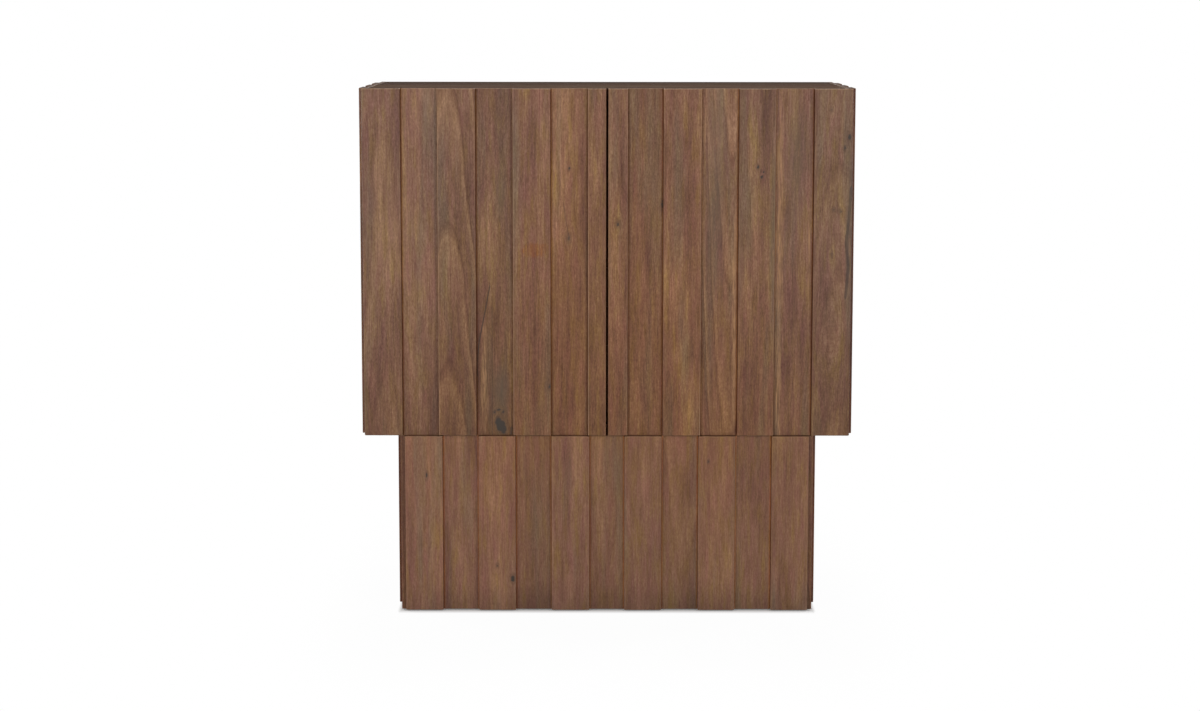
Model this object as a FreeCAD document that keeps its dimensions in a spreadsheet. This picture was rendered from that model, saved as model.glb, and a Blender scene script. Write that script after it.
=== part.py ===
import FreeCAD, Part
import os
import re
import Sketcher

# Bar cabinet: a two-door case of proud and recessed staves on a narrower plinth base.
# Millimetres. X runs to the right, Y to the back and Z up; the doors face -Y.
# The origin is on the floor, under the middle of the cabinet.

# Driving sizes
SIZES = {
    # Heights
    "base_height": 390,
    "case_height": 750,
    "glide_height": 3,
    "shadow_gap": 1.5,
    # Staves
    "proud_thickness": 20,
    "recessed_thickness": 10,
    "proud_round": 2,
    "recessed_round": 1,
    "side_proud_width": 82,
    "side_recessed_width": 76,
    "base_corner_width": 66,
    # Doors
    "door_backing": 8,
    "door_gap": 4,
    "door_reveal": 8,
    "hinge_gap": 6,
    # Case panels
    "side_panel_thickness": 16,
    "top_thickness": 20,
    "bottom_thickness": 20,
    "back_thickness": 8,
    "rabbet_depth": 8,
    "fit_gap": 0.2,
    "overrun": 5,
    # Shelf, partition and bottle rack
    "lower_room": 340,
    "shelf_thickness": 20,
    "shelf_setback": 24,
    "dado_depth": 6,
    "partition_thickness": 20,
    "rack_thickness": 12,
    "lap_gap": 0.1,
    # Stemware rails
    "rail_pitch": 95,
    "rail_side_room": 14,
    "rail_length": 390,
    "rail_setback": 34,
    "rail_flange_width": 60,
    "rail_flange_thickness": 8,
    "rail_web_width": 20,
    "rail_web_height": 26,
    # Hinges
    "hinge_height": 64,
    "hinge_inset": 90,
    "leaf_width": 26,
    "leaf_thickness": 2,
    "barrel_radius": 2.7,
    "knuckle_gap": 0.3,
    "pin_radius": 1.5,
    "pin_play": 0.05,
    # Touch latches
    "latch_offset": 40,
    "latch_setback": 6,
    "latch_width": 16,
    "latch_height": 14,
    "latch_length": 70,
    "latch_ear_width": 10,
    "latch_ear_thickness": 2,
    "latch_bore_depth": 58,
    "plunger_radius": 4,
    "plunger_play": 0.05,
    "plunger_length": 52,
    "plunger_head_radius": 5.5,
    "plunger_head_length": 3,
    "strike_width": 24,
    "strike_height": 14,
    "strike_thickness": 1.5,
    "strike_gap": 0.3,
    # Base
    "base_panel_thickness": 16,
    "base_top_thickness": 18,
    "block_size": 50,
    "block_height": 60,
    "glide_radius": 14,
    # Bolts between base and case
    "bolt_inset": 80,
    "bolt_radius": 4,
    "bolt_play": 0.1,
    "bolt_reach": 14,
    "bolt_head_radius": 7.5,
    "bolt_head_height": 5.5,
}

# Widths of the front staves, from left to right, each row starting with a proud one
STAVE_WIDTHS = {
    "left_door": (82.5, 78.5, 82, 79.5, 81.5, 80, 39.5),
    "right_door": (42.5, 76, 82, 79.5, 79, 82, 82.5),
    "base": (82, 78, 80.5, 78, 82.5, 76, 81, 79.5, 80.5, 79, 81),
}

# Counts
SIDE_PAIRS = 3
RAILS = 5
RACK_UPRIGHTS = 3
RACK_SHELVES = 2
KNUCKLES = 3
BOLT_HEAD_SIDES = 6


def width_name(row, number):
    return f"{row}_stave_{number}_width"


def row_sum(row, count):
    """The first staves of a row added up, as the text of a formula."""
    return " + ".join(width_name(row, n) for n in range(1, count + 1)) or "0"


for row, widths in STAVE_WIDTHS.items():
    for number, width in enumerate(widths, 1):
        SIZES[width_name(row, number)] = width

# Sizes and places that follow from the driving ones
FORMULAS = {
    "left_door_width": row_sum("left_door", len(STAVE_WIDTHS["left_door"])),
    "right_door_width": row_sum("right_door", len(STAVE_WIDTHS["right_door"])),
    "base_span": row_sum("base", len(STAVE_WIDTHS["base"])),
    "stave_step": "proud_thickness - recessed_thickness",
    "case_width": "left_door_width + door_gap + right_door_width + 2 * door_reveal",
    "case_depth": f"{SIDE_PAIRS} * (side_proud_width + side_recessed_width)",
    "door_thickness": "proud_thickness + door_backing",
    "total_depth": "door_thickness + hinge_gap + case_depth",
    "front_y": "0 - total_depth / 2",
    "back_y": "total_depth / 2",
    "door_back_y": "front_y + door_thickness",
    "case_front_y": "door_back_y + hinge_gap",
    "core_half": "case_width / 2 - proud_thickness",
    "inner_half": "core_half - side_panel_thickness",
    "floor_z": "base_height + bottom_thickness",
    "shelf_z": "floor_z + lower_room",
    "top_z": "base_height + case_height",
    "ceiling_z": "top_z - top_thickness",
    "shelf_front_y": "case_front_y + shelf_setback",
    "shelf_depth": "back_y - back_thickness - shelf_front_y",
    "hinge_x": "case_width / 2 - door_reveal",
    "hinge_y": "case_front_y - hinge_gap / 2",
    "knuckle_pitch": f"hinge_height / {KNUCKLES}",
    "rack_width": "inner_half - partition_thickness / 2",
    "bay_width": f"(rack_width - {RACK_UPRIGHTS} * rack_thickness) / {RACK_UPRIGHTS + 1}",
    "bay_height": f"(lower_room - {RACK_SHELVES} * rack_thickness) / {RACK_SHELVES + 1}",
    "latch_z": "ceiling_z - latch_height / 2",
    "plunger_tip_y": "door_back_y + strike_thickness + strike_gap",
    "base_half": "base_span / 2",
    "base_stave_length": "base_height - glide_height - shadow_gap",
    "base_inner_y": "front_y + proud_thickness + base_panel_thickness",
    "base_back_y": "front_y + stave_step + base_corner_width"
                   f" + {SIDE_PAIRS} * side_proud_width + {SIDE_PAIRS - 1} * side_recessed_width",
    "base_top_z": "base_height - base_top_thickness",
    "base_panel_height": "base_top_z - glide_height",
}

# Smallest distance that counts as a difference when edges are picked
TOLERANCE = 1e-6
UP = FreeCAD.Vector(0, 0, 1)
RIGHT = FreeCAD.Vector(1, 0, 0)
QUARTER = 90

doc = FreeCAD.newDocument("bar_cabinet")
sheet = doc.addObject("Spreadsheet::Sheet", "Sizes")
cells = {**SIZES, **{alias: "=" + formula for alias, formula in FORMULAS.items()}}
for line, (alias, content) in enumerate(cells.items(), 1):
    sheet.set(f"A{line}", alias)
    sheet.set(f"B{line}", str(content))
    sheet.setAlias(f"B{line}", alias)
doc.recompute()

nodes = []


def in_sheet(text):
    """The same formula with each name turned into a reference to its cell."""
    return re.sub(r"[a-z]\w*", lambda word: "Sizes." + word.group(), text)


def value(text):
    """The number that a formula of the sheet's names gives now."""
    return float(sheet.evalExpression(in_sheet(text)))


def bind(piece, **formulas):
    for name, text in formulas.items():
        piece.setExpression(name, in_sheet(text))


def place(piece, corner, axis=UP, angle=0):
    """Turn a piece about its own origin, then tie that origin to a place."""
    piece.Placement = FreeCAD.Placement(FreeCAD.Vector(), FreeCAD.Rotation(axis, angle))
    for name, text in zip("xyz", corner):
        piece.setExpression(f"Placement.Base.{name}", in_sheet(text))
    return piece


def keep(piece):
    nodes.append(piece)
    return piece


def box(label, corner, size):
    piece = doc.addObject("Part::Box", label)
    bind(piece, Length=size[0], Width=size[1], Height=size[2])
    return place(piece, corner)


def cylinder(label, start, radius, length, axis=UP, angle=0):
    piece = doc.addObject("Part::Cylinder", label)
    bind(piece, Radius=radius, Height=length)
    return place(piece, start, axis, angle)


def fuse(label, pieces):
    piece = doc.addObject("Part::MultiFuse", label)
    piece.Shapes = pieces
    return piece


def cut(label, blank, tools):
    piece = doc.addObject("Part::Cut", label)
    piece.Base = blank
    piece.Tool = tools[0] if len(tools) == 1 else fuse(label + "_tools", tools)
    return piece


def group(label, pieces):
    """Separate solids that share one node."""
    piece = doc.addObject("Part::Compound", label)
    piece.Links = pieces
    return piece


def mirrored(label, source):
    """The same piece on the other side of the middle plane."""
    piece = doc.addObject("Part::Mirroring", label)
    piece.Source = source
    piece.Normal = RIGHT
    return piece


def outline(body, plane, points):
    """A closed sketch through points whose coordinates are formulas of named sizes."""
    sketch = body.newObject("Sketcher::SketchObject", body.Name + "_outline")
    support = [item for item in body.Origin.OriginFeatures if item.Role == plane]
    sketch.AttachmentSupport = (support[0], [""])
    sketch.MapMode = "FlatFace"
    places = [FreeCAD.Vector(value(x), value(y), 0) for x, y in points]
    count = len(points)
    for i in range(count):
        sketch.addGeometry(Part.LineSegment(places[i], places[(i + 1) % count]), False)
    for i in range(count):
        sketch.addConstraint(Sketcher.Constraint("Coincident", i, 2, (i + 1) % count, 1))
    for i, point in enumerate(points):
        for kind, axis, text in zip(("DistanceX", "DistanceY"), (-2, -1), point):
            if text == "0":
                sketch.addConstraint(Sketcher.Constraint("PointOnObject", i, 1, axis))
            else:
                rule = Sketcher.Constraint(kind, -1, 1, i, 1, value(text))
                sketch.setExpression(f"Constraints[{sketch.addConstraint(rule)}]", in_sheet(text))
    return sketch


def padded(label, points, length):
    """A body with one outline drawn out along Z."""
    body = doc.addObject("PartDesign::Body", label)
    sketch = outline(body, "XY_Plane", points)
    pad = body.newObject("PartDesign::Pad", label + "_pad")
    pad.Profile = sketch
    bind(pad, Length=length)
    doc.recompute([sketch, pad])
    return body, pad


def turned(label, points, start, axis=UP, angle=0):
    """A body with one outline turned round its Z axis, each point a radius and a height."""
    body = doc.addObject("PartDesign::Body", label)
    sketch = outline(body, "XZ_Plane", points)
    turn = body.newObject("PartDesign::Revolution", label + "_turn")
    turn.Profile = sketch
    turn.ReferenceAxis = (sketch, ["V_Axis"])
    turn.Angle = 4 * QUARTER
    return place(body, start, axis, angle)


def stave(label, width, proud, length, corner, angle=0):
    """One stave, its show face at local y = 0 and all four edges of that face eased."""
    thickness = "proud_thickness" if proud else "recessed_thickness"
    points = (("0", "0"), (width, "0"), (width, thickness), ("0", thickness))
    body, pad = padded(label, points, length)
    edges = enumerate(pad.Shape.Edges, 1)
    ease = body.newObject("PartDesign::Fillet", label + "_eased")
    ease.Base = (pad, [f"Edge{n}" for n, edge in edges if edge.BoundBox.YMax < TOLERANCE])
    bind(ease, Radius="proud_round" if proud else "recessed_round")
    return place(body, corner, UP, angle)


def show_face(proud, plane, inward):
    """Where a stave's show face lies: on the plane, or one step behind it."""
    return plane if proud else f"{plane} {inward} stave_step"


def stave_row(row, start_x, bottom_z, length):
    """A row of staves across the front, from left to right, every second one recessed."""
    for number in range(1, len(STAVE_WIDTHS[row]) + 1):
        proud = number % 2 == 1
        corner = (f"{start_x} + {row_sum(row, number - 1)}", show_face(proud, "front_y", "+"), bottom_z)
        keep(stave(f"{row}_stave_{number}", width_name(row, number), proud, length, corner))


# Doors: staves on a backing panel
left_door_x = "0 - hinge_x"
right_door_x = "hinge_x - right_door_width"
for side, start_x in (("left", left_door_x), ("right", right_door_x)):
    stave_row(f"{side}_door", start_x, "base_height", "case_height")
    keep(box(f"{side}_door_panel", (start_x, "front_y + proud_thickness", "base_height"),
             (f"{side}_door_width", "door_backing", "case_height")))

# Hinges: each leaf is a plate and a barrel in one, less the pin's bore and the other leaf's knuckles
HINGE_CENTRES = ("base_height + hinge_inset", "top_z - hinge_inset")
CASE_KNUCKLES = (0, 2)
DOOR_KNUCKLES = (1,)


def hinge_leaf(label, plate_y, bottom_z, own_knuckles):
    """One right-hand leaf, which keeps its own knuckles of the barrel."""
    corner = ("hinge_x - leaf_width", plate_y, bottom_z)
    plate = box(label + "_plate", corner, ("leaf_width", "leaf_thickness", "hinge_height"))
    barrel = cylinder(label + "_barrel", ("hinge_x", "hinge_y", bottom_z), "barrel_radius", "hinge_height")
    bore = cylinder(label + "_bore", ("hinge_x", "hinge_y", f"{bottom_z} - overrun"),
                    "pin_radius + pin_play", "hinge_height + 2 * overrun")
    tools = [bore]
    room = "(barrel_radius + knuckle_gap)"
    for number in range(KNUCKLES):
        if number in own_knuckles:
            continue
        first = number == 0
        last = number == KNUCKLES - 1
        below = "overrun" if first else "knuckle_gap / 2"
        above = "overrun" if last else "knuckle_gap / 2"
        tools.append(box(f"{label}_space_{number + 1}",
                         (f"hinge_x - {room}", f"hinge_y - {room}",
                          f"{bottom_z} + {number} * knuckle_pitch - {below}"),
                         (f"2 * {room}", f"2 * {room}", f"knuckle_pitch + {below} + {above}")))
    return cut(label, fuse(label + "_blank", [plate, barrel]), tools)


def hinge_set(label, plate_y, own_knuckles):
    """The right-hand leaves on one face."""
    return group(label, [
        hinge_leaf(f"{label}_{number}", plate_y, f"{centre} - hinge_height / 2", own_knuckles)
        for number, centre in enumerate(HINGE_CENTRES, 1)
    ])


right_case_leaves = hinge_set("right_case_leaves", "case_front_y - leaf_thickness", CASE_KNUCKLES)
left_case_leaves = mirrored("left_case_leaves", right_case_leaves)
keep(group("hinge_case_leaves", [right_case_leaves, left_case_leaves]))
right_door_leaves = keep(hinge_set("right_hinge_door_leaves", "door_back_y", DOOR_KNUCKLES))
keep(mirrored("left_hinge_door_leaves", right_door_leaves))
right_pins = group("right_pins", [
    cylinder(f"right_pin_{number}", ("hinge_x", "hinge_y", f"{centre} - hinge_height / 2"),
             "pin_radius", "hinge_height")
    for number, centre in enumerate(HINGE_CENTRES, 1)
])
keep(group("hinge_pins", [right_pins, mirrored("left_pins", right_pins)]))

# Case: bottom and top boards run over the side panels, and the back sits in a rabbet round all four
rabbet_corner_y = "back_y - back_thickness"
rabbet_depth_y = "back_thickness + overrun"
bolt_places = [
    (f"{sign} (base_half - bolt_inset)", y)
    for sign in ("0 -", "0 +")
    for y in ("base_inner_y + bolt_inset", "base_back_y - bolt_inset")
]
bolt_holes = [
    cylinder(f"bolt_hole_{n}", (x, y, "base_top_z - overrun"), "bolt_radius + bolt_play",
             "base_top_thickness + bolt_reach + bolt_play + overrun")
    for n, (x, y) in enumerate(bolt_places, 1)
]
bolt_hole_set = group("bolt_holes", bolt_holes)
board_size = ("2 * core_half", "case_depth")
rabbet_x = "0 - inner_half - rabbet_depth"
rabbet_width = "2 * (inner_half + rabbet_depth)"
bottom_blank = box("bottom_blank", ("0 - core_half", "case_front_y", "base_height"),
                   board_size + ("bottom_thickness",))
bottom_rabbet = box("bottom_rabbet", (rabbet_x, rabbet_corner_y, "floor_z - rabbet_depth"),
                    (rabbet_width, rabbet_depth_y, "rabbet_depth + overrun"))
keep(cut("bottom_panel", bottom_blank, [bottom_rabbet, *bolt_holes]))
top_blank = box("top_blank", ("0 - core_half", "case_front_y", "ceiling_z"), board_size + ("top_thickness",))
top_rabbet = box("top_rabbet", (rabbet_x, rabbet_corner_y, "ceiling_z - overrun"),
                 (rabbet_width, rabbet_depth_y, "rabbet_depth + overrun"))
keep(cut("top_panel", top_blank, [top_rabbet]))

side_blank = box("right_side_blank", ("inner_half", "case_front_y", "floor_z"),
                 ("side_panel_thickness", "case_depth", "ceiling_z - floor_z"))
side_rabbet = box("right_side_rabbet", ("inner_half - overrun", rabbet_corner_y, "floor_z - overrun"),
                  ("rabbet_depth + overrun", rabbet_depth_y, "ceiling_z - floor_z + 2 * overrun"))
side_dado = box("right_side_dado", ("inner_half - overrun", "shelf_front_y", "shelf_z"),
                ("dado_depth + overrun", "shelf_depth", "shelf_thickness"))
right_side = keep(cut("right_side_panel", side_blank, [side_rabbet, side_dado]))
keep(mirrored("left_side_panel", right_side))

keep(box("back_panel",
         (f"{rabbet_x} + fit_gap", rabbet_corner_y, "floor_z - rabbet_depth + fit_gap"),
         (f"{rabbet_width} - 2 * fit_gap", "back_thickness",
          "ceiling_z - floor_z + 2 * (rabbet_depth - fit_gap)")))

# Case sides: staves from the front to the back, a proud one first


def side_staves(label, start_y, face_x, bottom_z, length, widths, first_proud):
    """The staves of one right-hand side, from the front to the back."""
    pieces = []
    for number, width in enumerate(widths):
        proud = (number % 2 == 0) == first_proud
        before = " + ".join(["0", *widths[:number]])
        corner = (show_face(proud, face_x, "-"), f"{start_y} + {before}", bottom_z)
        pieces.append(stave(f"{label}_{number + 1}", width, proud, length, corner, QUARTER))
    return pieces


case_side_widths = ["side_proud_width", "side_recessed_width"] * SIDE_PAIRS
case_side = side_staves("right_side_stave", "case_front_y", "case_width / 2", "base_height", "case_height",
                        case_side_widths, True)
right_side_staves = keep(group("right_side_staves", case_side))
keep(mirrored("left_side_staves", right_side_staves))

# Inside: shelf in dadoes, centre partition, bottle rack of half-lapped boards
keep(box("shelf", ("fit_gap - inner_half - dado_depth", "shelf_front_y", "shelf_z"),
         ("2 * (inner_half + dado_depth - fit_gap)", "shelf_depth", "shelf_thickness")))
keep(box("centre_partition", ("0 - partition_thickness / 2", "shelf_front_y", "floor_z"),
         ("partition_thickness", "shelf_depth", "lower_room")))

upright_places = [
    f"partition_thickness / 2 + {n} * bay_width + {n - 1} * rack_thickness"
    for n in range(1, RACK_UPRIGHTS + 1)
]
rack_shelf_places = [
    f"floor_z + {n} * bay_height + {n - 1} * rack_thickness" for n in range(1, RACK_SHELVES + 1)
]
lap_depth = "shelf_depth / 2 + lap_gap + overrun"
lap_width = "rack_thickness + 2 * lap_gap"
through = "rack_thickness + 2 * overrun"
uprights = []
for n, x in enumerate(upright_places, 1):
    board = box(f"rack_upright_{n}_blank", (x, "shelf_front_y", "floor_z"),
                ("rack_thickness", "shelf_depth", "lower_room"))
    laps = [
        box(f"rack_upright_{n}_lap_{m}", (f"{x} - overrun", "shelf_front_y - overrun", f"{z} - lap_gap"),
            (through, lap_depth, lap_width))
        for m, z in enumerate(rack_shelf_places, 1)
    ]
    uprights.append(cut(f"rack_upright_{n}", board, laps))
keep(group("rack_uprights", uprights))
rack_shelves = []
for m, z in enumerate(rack_shelf_places, 1):
    board = box(f"rack_shelf_{m}_blank", ("partition_thickness / 2 + fit_gap", "shelf_front_y", z),
                ("rack_width - 2 * fit_gap", "shelf_depth", "rack_thickness"))
    laps = [
        box(f"rack_shelf_{m}_lap_{n}",
            (f"{x} - lap_gap", "shelf_front_y + shelf_depth / 2 - lap_gap", f"{z} - overrun"),
            (lap_width, lap_depth, through))
        for n, x in enumerate(upright_places, 1)
    ]
    rack_shelves.append(cut(f"rack_shelf_{m}", board, laps))
keep(group("rack_shelves", rack_shelves))

# Stemware rails: T sections under the top, running from the front to the back
web_left = "(rail_flange_width - rail_web_width) / 2"
web_right = "(rail_flange_width + rail_web_width) / 2"
rail_top = "rail_flange_thickness + rail_web_height"
rail_outline = (
    ("0", "0"),
    ("rail_flange_width", "0"),
    ("rail_flange_width", "rail_flange_thickness"),
    (web_right, "rail_flange_thickness"),
    (web_right, rail_top),
    (web_left, rail_top),
    (web_left, "rail_flange_thickness"),
    ("0", "rail_flange_thickness"),
)
rails = []
for number in range(RAILS):
    rail, pad = padded(f"stemware_rail_{number + 1}", rail_outline, "rail_length")
    start = (f"rail_side_room - inner_half + {number} * rail_pitch",
             "case_front_y + rail_setback + rail_length", f"ceiling_z - ({rail_top})")
    rails.append(place(rail, start, RIGHT, QUARTER))
keep(group("stemware_rails", rails))

# Touch latches: a housing with ears under the top, a plunger in its bore and a strike on each door
latch_front_y = "case_front_y + latch_setback"
housing = box("right_latch_body",
              ("latch_offset - latch_width / 2", latch_front_y, "ceiling_z - latch_height"),
              ("latch_width", "latch_length", "latch_height"))
ears = box("right_latch_ears",
           ("latch_offset - latch_width / 2 - latch_ear_width", f"{latch_front_y} + latch_length / 4",
            "ceiling_z - latch_ear_thickness"),
           ("latch_width + 2 * latch_ear_width", "latch_length / 2", "latch_ear_thickness"))
bore = cylinder("right_latch_bore", ("latch_offset", f"{latch_front_y} - overrun", "latch_z"),
                "plunger_radius + plunger_play", "latch_bore_depth + overrun", RIGHT, -QUARTER)
right_latch = cut("right_latch_housing", fuse("right_latch_blank", [housing, ears]), [bore])
keep(group("latch_housings", [right_latch, mirrored("left_latch_housing", right_latch)]))

plunger_outline = (
    ("0", "0"),
    ("plunger_head_radius", "0"),
    ("plunger_head_radius", "plunger_head_length"),
    ("plunger_radius", "plunger_head_length"),
    ("plunger_radius", "plunger_length"),
    ("0", "plunger_length"),
)
right_plunger = keep(turned("right_plunger", plunger_outline, ("latch_offset", "plunger_tip_y", "latch_z"),
                            RIGHT, -QUARTER))
keep(mirrored("left_plunger", right_plunger))
right_strike = keep(box("right_strike",
                        ("latch_offset - strike_width / 2", "door_back_y", "latch_z - strike_height / 2"),
                        ("strike_width", "strike_thickness", "strike_height")))
keep(mirrored("left_strike", right_strike))

# Base: panels faced with staves, a top plate that carries the case, corner blocks and glides
stave_row("base", "0 - base_half", "glide_height", "base_stave_length")
base_side_widths = ["base_corner_width"] + ["side_proud_width", "side_recessed_width"] * SIDE_PAIRS
base_side = side_staves("right_base_stave", "front_y + stave_step", "base_half + proud_thickness",
                        "glide_height", "base_stave_length", base_side_widths[:-1], False)
right_base_staves = keep(group("right_base_staves", base_side))
keep(mirrored("left_base_staves", right_base_staves))

keep(box("base_front_panel", ("0 - base_half", "front_y + proud_thickness", "glide_height"),
         ("base_span", "base_panel_thickness", "base_stave_length")))
keep(box("base_back_panel", ("0 - base_half", "base_back_y - base_panel_thickness", "glide_height"),
         ("base_span", "base_panel_thickness", "base_panel_height")))
right_base_panel = box("right_base_panel",
                       ("base_half - base_panel_thickness", "base_inner_y", "glide_height"),
                       ("base_panel_thickness", "base_back_y - base_panel_thickness - base_inner_y",
                        "base_panel_height"))
keep(group("base_side_panels", [right_base_panel, mirrored("left_base_panel", right_base_panel)]))
plate_blank = box("base_top_blank", ("0 - base_half", "base_inner_y", "base_top_z"),
                  ("base_span", "base_back_y - base_inner_y", "base_top_thickness"))
keep(cut("base_top_plate", plate_blank, [bolt_hole_set]))

block_x = "base_half - base_panel_thickness - block_size"
blocks = []
glides = []
for name, y in (("front", "base_inner_y"), ("back", "base_back_y - base_panel_thickness - block_size")):
    blocks.append(box(f"right_{name}_block", (block_x, y, "glide_height"),
                      ("block_size", "block_size", "block_height")))
    middle = (f"{block_x} + block_size / 2", f"{y} + block_size / 2", "0")
    glides.append(cylinder(f"right_{name}_glide", middle, "glide_radius", "glide_height"))
right_blocks = group("right_blocks", blocks)
right_glides = group("right_glides", glides)
keep(group("base_corner_blocks", [right_blocks, mirrored("left_blocks", right_blocks)]))
keep(group("base_glides", [right_glides, mirrored("left_glides", right_glides)]))

# Bolts: hexagon heads under the base's top plate, shanks up into the case's bottom board
bolts = []
for n, (x, y) in enumerate(bolt_places, 1):
    head = doc.addObject("Part::Prism", f"bolt_head_{n}")
    head.Polygon = BOLT_HEAD_SIDES
    bind(head, Circumradius="bolt_head_radius", Height="bolt_head_height")
    place(head, (x, y, "base_top_z - bolt_head_height"))
    shank = cylinder(f"bolt_shank_{n}", (x, y, "base_top_z - bolt_head_height / 2"), "bolt_radius",
                     "bolt_head_height / 2 + base_top_thickness + bolt_reach")
    bolts.append(fuse(f"bolt_{n}", [head, shank]))
keep(group("case_bolts", bolts))

# Check and write
doc.recompute()
for item in doc.Objects:
    if "Invalid" in item.State or "Error" in item.State:
        raise RuntimeError(f"{item.Label} failed: {item.State}")
for node in nodes:
    if node.Shape.isNull() or not node.Shape.isValid() or node.Shape.Volume <= 0:
        raise RuntimeError(f"{node.Label} has no valid shape")
os.makedirs("parts", exist_ok=True)
for node in nodes:
    node.Shape.exportStep(f"parts/{node.Label}.step")
    print(f"{node.Label}: {len(node.Shape.Solids)} solids, {node.Shape.Volume:.1f} mm3")
print(f"{len(nodes)} nodes")
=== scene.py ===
# %% [markdown]
# # A bar cabinet of proud and recessed staves
# The CAD model is loaded first as a fixed frame: it gives every board its place, and the doors
# their hinges. Blender could rebuild the sizes by eye, but reading them from the frame keeps
# the looks and the motion together. Everything is in metres, with the doors facing -Y.

# %% Load the frame
import math
import bpy
import numpy as np
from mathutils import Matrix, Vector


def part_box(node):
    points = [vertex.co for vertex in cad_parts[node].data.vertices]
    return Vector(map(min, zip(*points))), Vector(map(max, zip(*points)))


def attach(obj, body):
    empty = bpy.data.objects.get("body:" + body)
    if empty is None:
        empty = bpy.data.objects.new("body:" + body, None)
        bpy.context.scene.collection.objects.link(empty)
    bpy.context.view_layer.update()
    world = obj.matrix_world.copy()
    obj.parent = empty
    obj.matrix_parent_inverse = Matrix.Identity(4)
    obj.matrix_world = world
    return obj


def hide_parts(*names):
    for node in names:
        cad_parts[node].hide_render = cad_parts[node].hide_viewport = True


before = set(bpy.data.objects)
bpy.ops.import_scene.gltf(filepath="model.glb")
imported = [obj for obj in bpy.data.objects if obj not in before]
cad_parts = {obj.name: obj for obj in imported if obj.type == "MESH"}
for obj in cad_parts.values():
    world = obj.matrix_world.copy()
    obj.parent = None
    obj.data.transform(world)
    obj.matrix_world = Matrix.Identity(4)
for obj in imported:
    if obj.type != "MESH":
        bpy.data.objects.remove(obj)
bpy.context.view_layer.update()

scene = bpy.context.scene
scene.view_settings.view_transform = "Standard"

# %% [markdown]
# ## Camera
# The cabinet was seen almost straight on, from about five and a half metres, slightly above its
# top, with a long lens. Perspective gives the distance: the base and the back edge of the top
# look narrower than they are. The camera tilts down and hardly rolls, so upright edges stay upright.

# %% Camera
LENS_MM = 77.3
SENSOR_MM = 36.0
CAMERA_PLACE = (-0.0158, -5.774, 1.309)
CAMERA_TILT = 7.67
CAMERA_ROLL = -0.05

camera_data = bpy.data.cameras.new("camera")
camera_data.sensor_width = SENSOR_MM
camera_data.lens = LENS_MM
camera = bpy.data.objects.new("camera", camera_data)
camera.location = CAMERA_PLACE
camera.rotation_euler = (math.radians(90 - CAMERA_TILT), math.radians(CAMERA_ROLL), 0)
scene.collection.objects.link(camera)
scene.camera = camera
print("camera", CAMERA_PLACE, "tilted", CAMERA_TILT, "degrees down")

# %% [markdown]
# ## Nodes in short
# Materials are written as node trees. They could be wired by hand in the Shader Editor, but then
# nobody could read them here. A few helpers keep that short: one adds a node and fills or links its
# inputs by name, others do a sum, a blend or a colour ramp. Colours are given as the eye sees them
# on a screen, so they are turned into linear light first.

# %% Node helpers


def linear(red, green, blue):
    """Screen colour from 0 to 255 to linear light: ((c + 0.055) / 1.055) ^ 2.4, above the toe."""
    c = np.array([red, green, blue]) / 255
    light = np.where(c <= 0.04045, c / 12.92, ((c + 0.055) / 1.055) ** 2.4)
    return (*light.tolist(), 1.0)


def put(tree, socket, source):
    """Link a socket, or set its value."""
    if isinstance(source, bpy.types.NodeSocket):
        tree.links.new(source, socket)
    else:
        socket.default_value = source


def add(tree, kind, inputs=None, **settings):
    """Add a shader node with its settings, and set or link its inputs."""
    made = tree.nodes.new("ShaderNode" + kind)
    for name, setting in settings.items():
        setattr(made, name, setting)
    for name, source in (inputs or {}).items():
        put(tree, made.inputs[name], source)
    return made


def sums(tree, operation, *values, clamp=False):
    """A Math node on numbers or sockets."""
    made = add(tree, "Math", dict(enumerate(values)), operation=operation, use_clamp=clamp)
    return made.outputs[0]


def times(tree, first, second, clamp=False):
    """first x second"""
    return sums(tree, "MULTIPLY", first, second, clamp=clamp)


def scaled(tree, value, factor, offset):
    """value x factor + offset"""
    return sums(tree, "MULTIPLY_ADD", value, factor, offset)


def blend(tree, amount, first, second, how="MIX"):
    """A Mix node for colours: first at amount 0, mixed with second up to amount 1."""
    made = add(tree, "Mix", data_type="RGBA", blend_type=how)
    for place, source in ((0, amount), (6, first), (7, second)):
        put(tree, made.inputs[place], source)
    return made.outputs[2]


def ramp(tree, value, stops):
    """A colour ramp through (place, colour) stops; a plain number stands for a grey."""
    made = add(tree, "ValToRGB", {0: value})
    elements = made.color_ramp.elements
    while len(elements) < len(stops):
        elements.new(1.0)
    for element, (place, colour) in zip(elements, stops):
        element.position = place
        element.color = colour if isinstance(colour, tuple) else (colour, colour, colour, 1.0)
    return made.outputs[0]


def noise(tree, place, stretch, detail, roughness):
    """Soft noise whose spots are 1 / stretch metres long in each direction."""
    stretched = add(tree, "VectorMath", {0: place, 1: stretch}, operation="MULTIPLY")
    made = add(tree, "TexNoise", {"Vector": stretched.outputs[0], "Scale": 1.0, "Detail": detail,
                                  "Roughness": roughness})
    return made.outputs[0]


def new_group(name, inputs, outputs):
    """An empty shader node group with (label, kind) sockets; gives the tree and its two ends."""
    tree = bpy.data.node_groups.new(name, "ShaderNodeTree")
    for direction, sockets in (("INPUT", inputs), ("OUTPUT", outputs)):
        for label, kind in sockets:
            tree.interface.new_socket(label, in_out=direction, socket_type="NodeSocket" + kind)
    start = tree.nodes.new("NodeGroupInput")
    end = tree.nodes.new("NodeGroupOutput")
    return tree, start.outputs, end.inputs


def new_material(name):
    """A material with nodes; gives it, its tree and its Principled BSDF."""
    material = bpy.data.materials.new(name)
    material.use_nodes = True
    tree = material.node_tree
    return material, tree, tree.nodes["Principled BSDF"]


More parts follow.
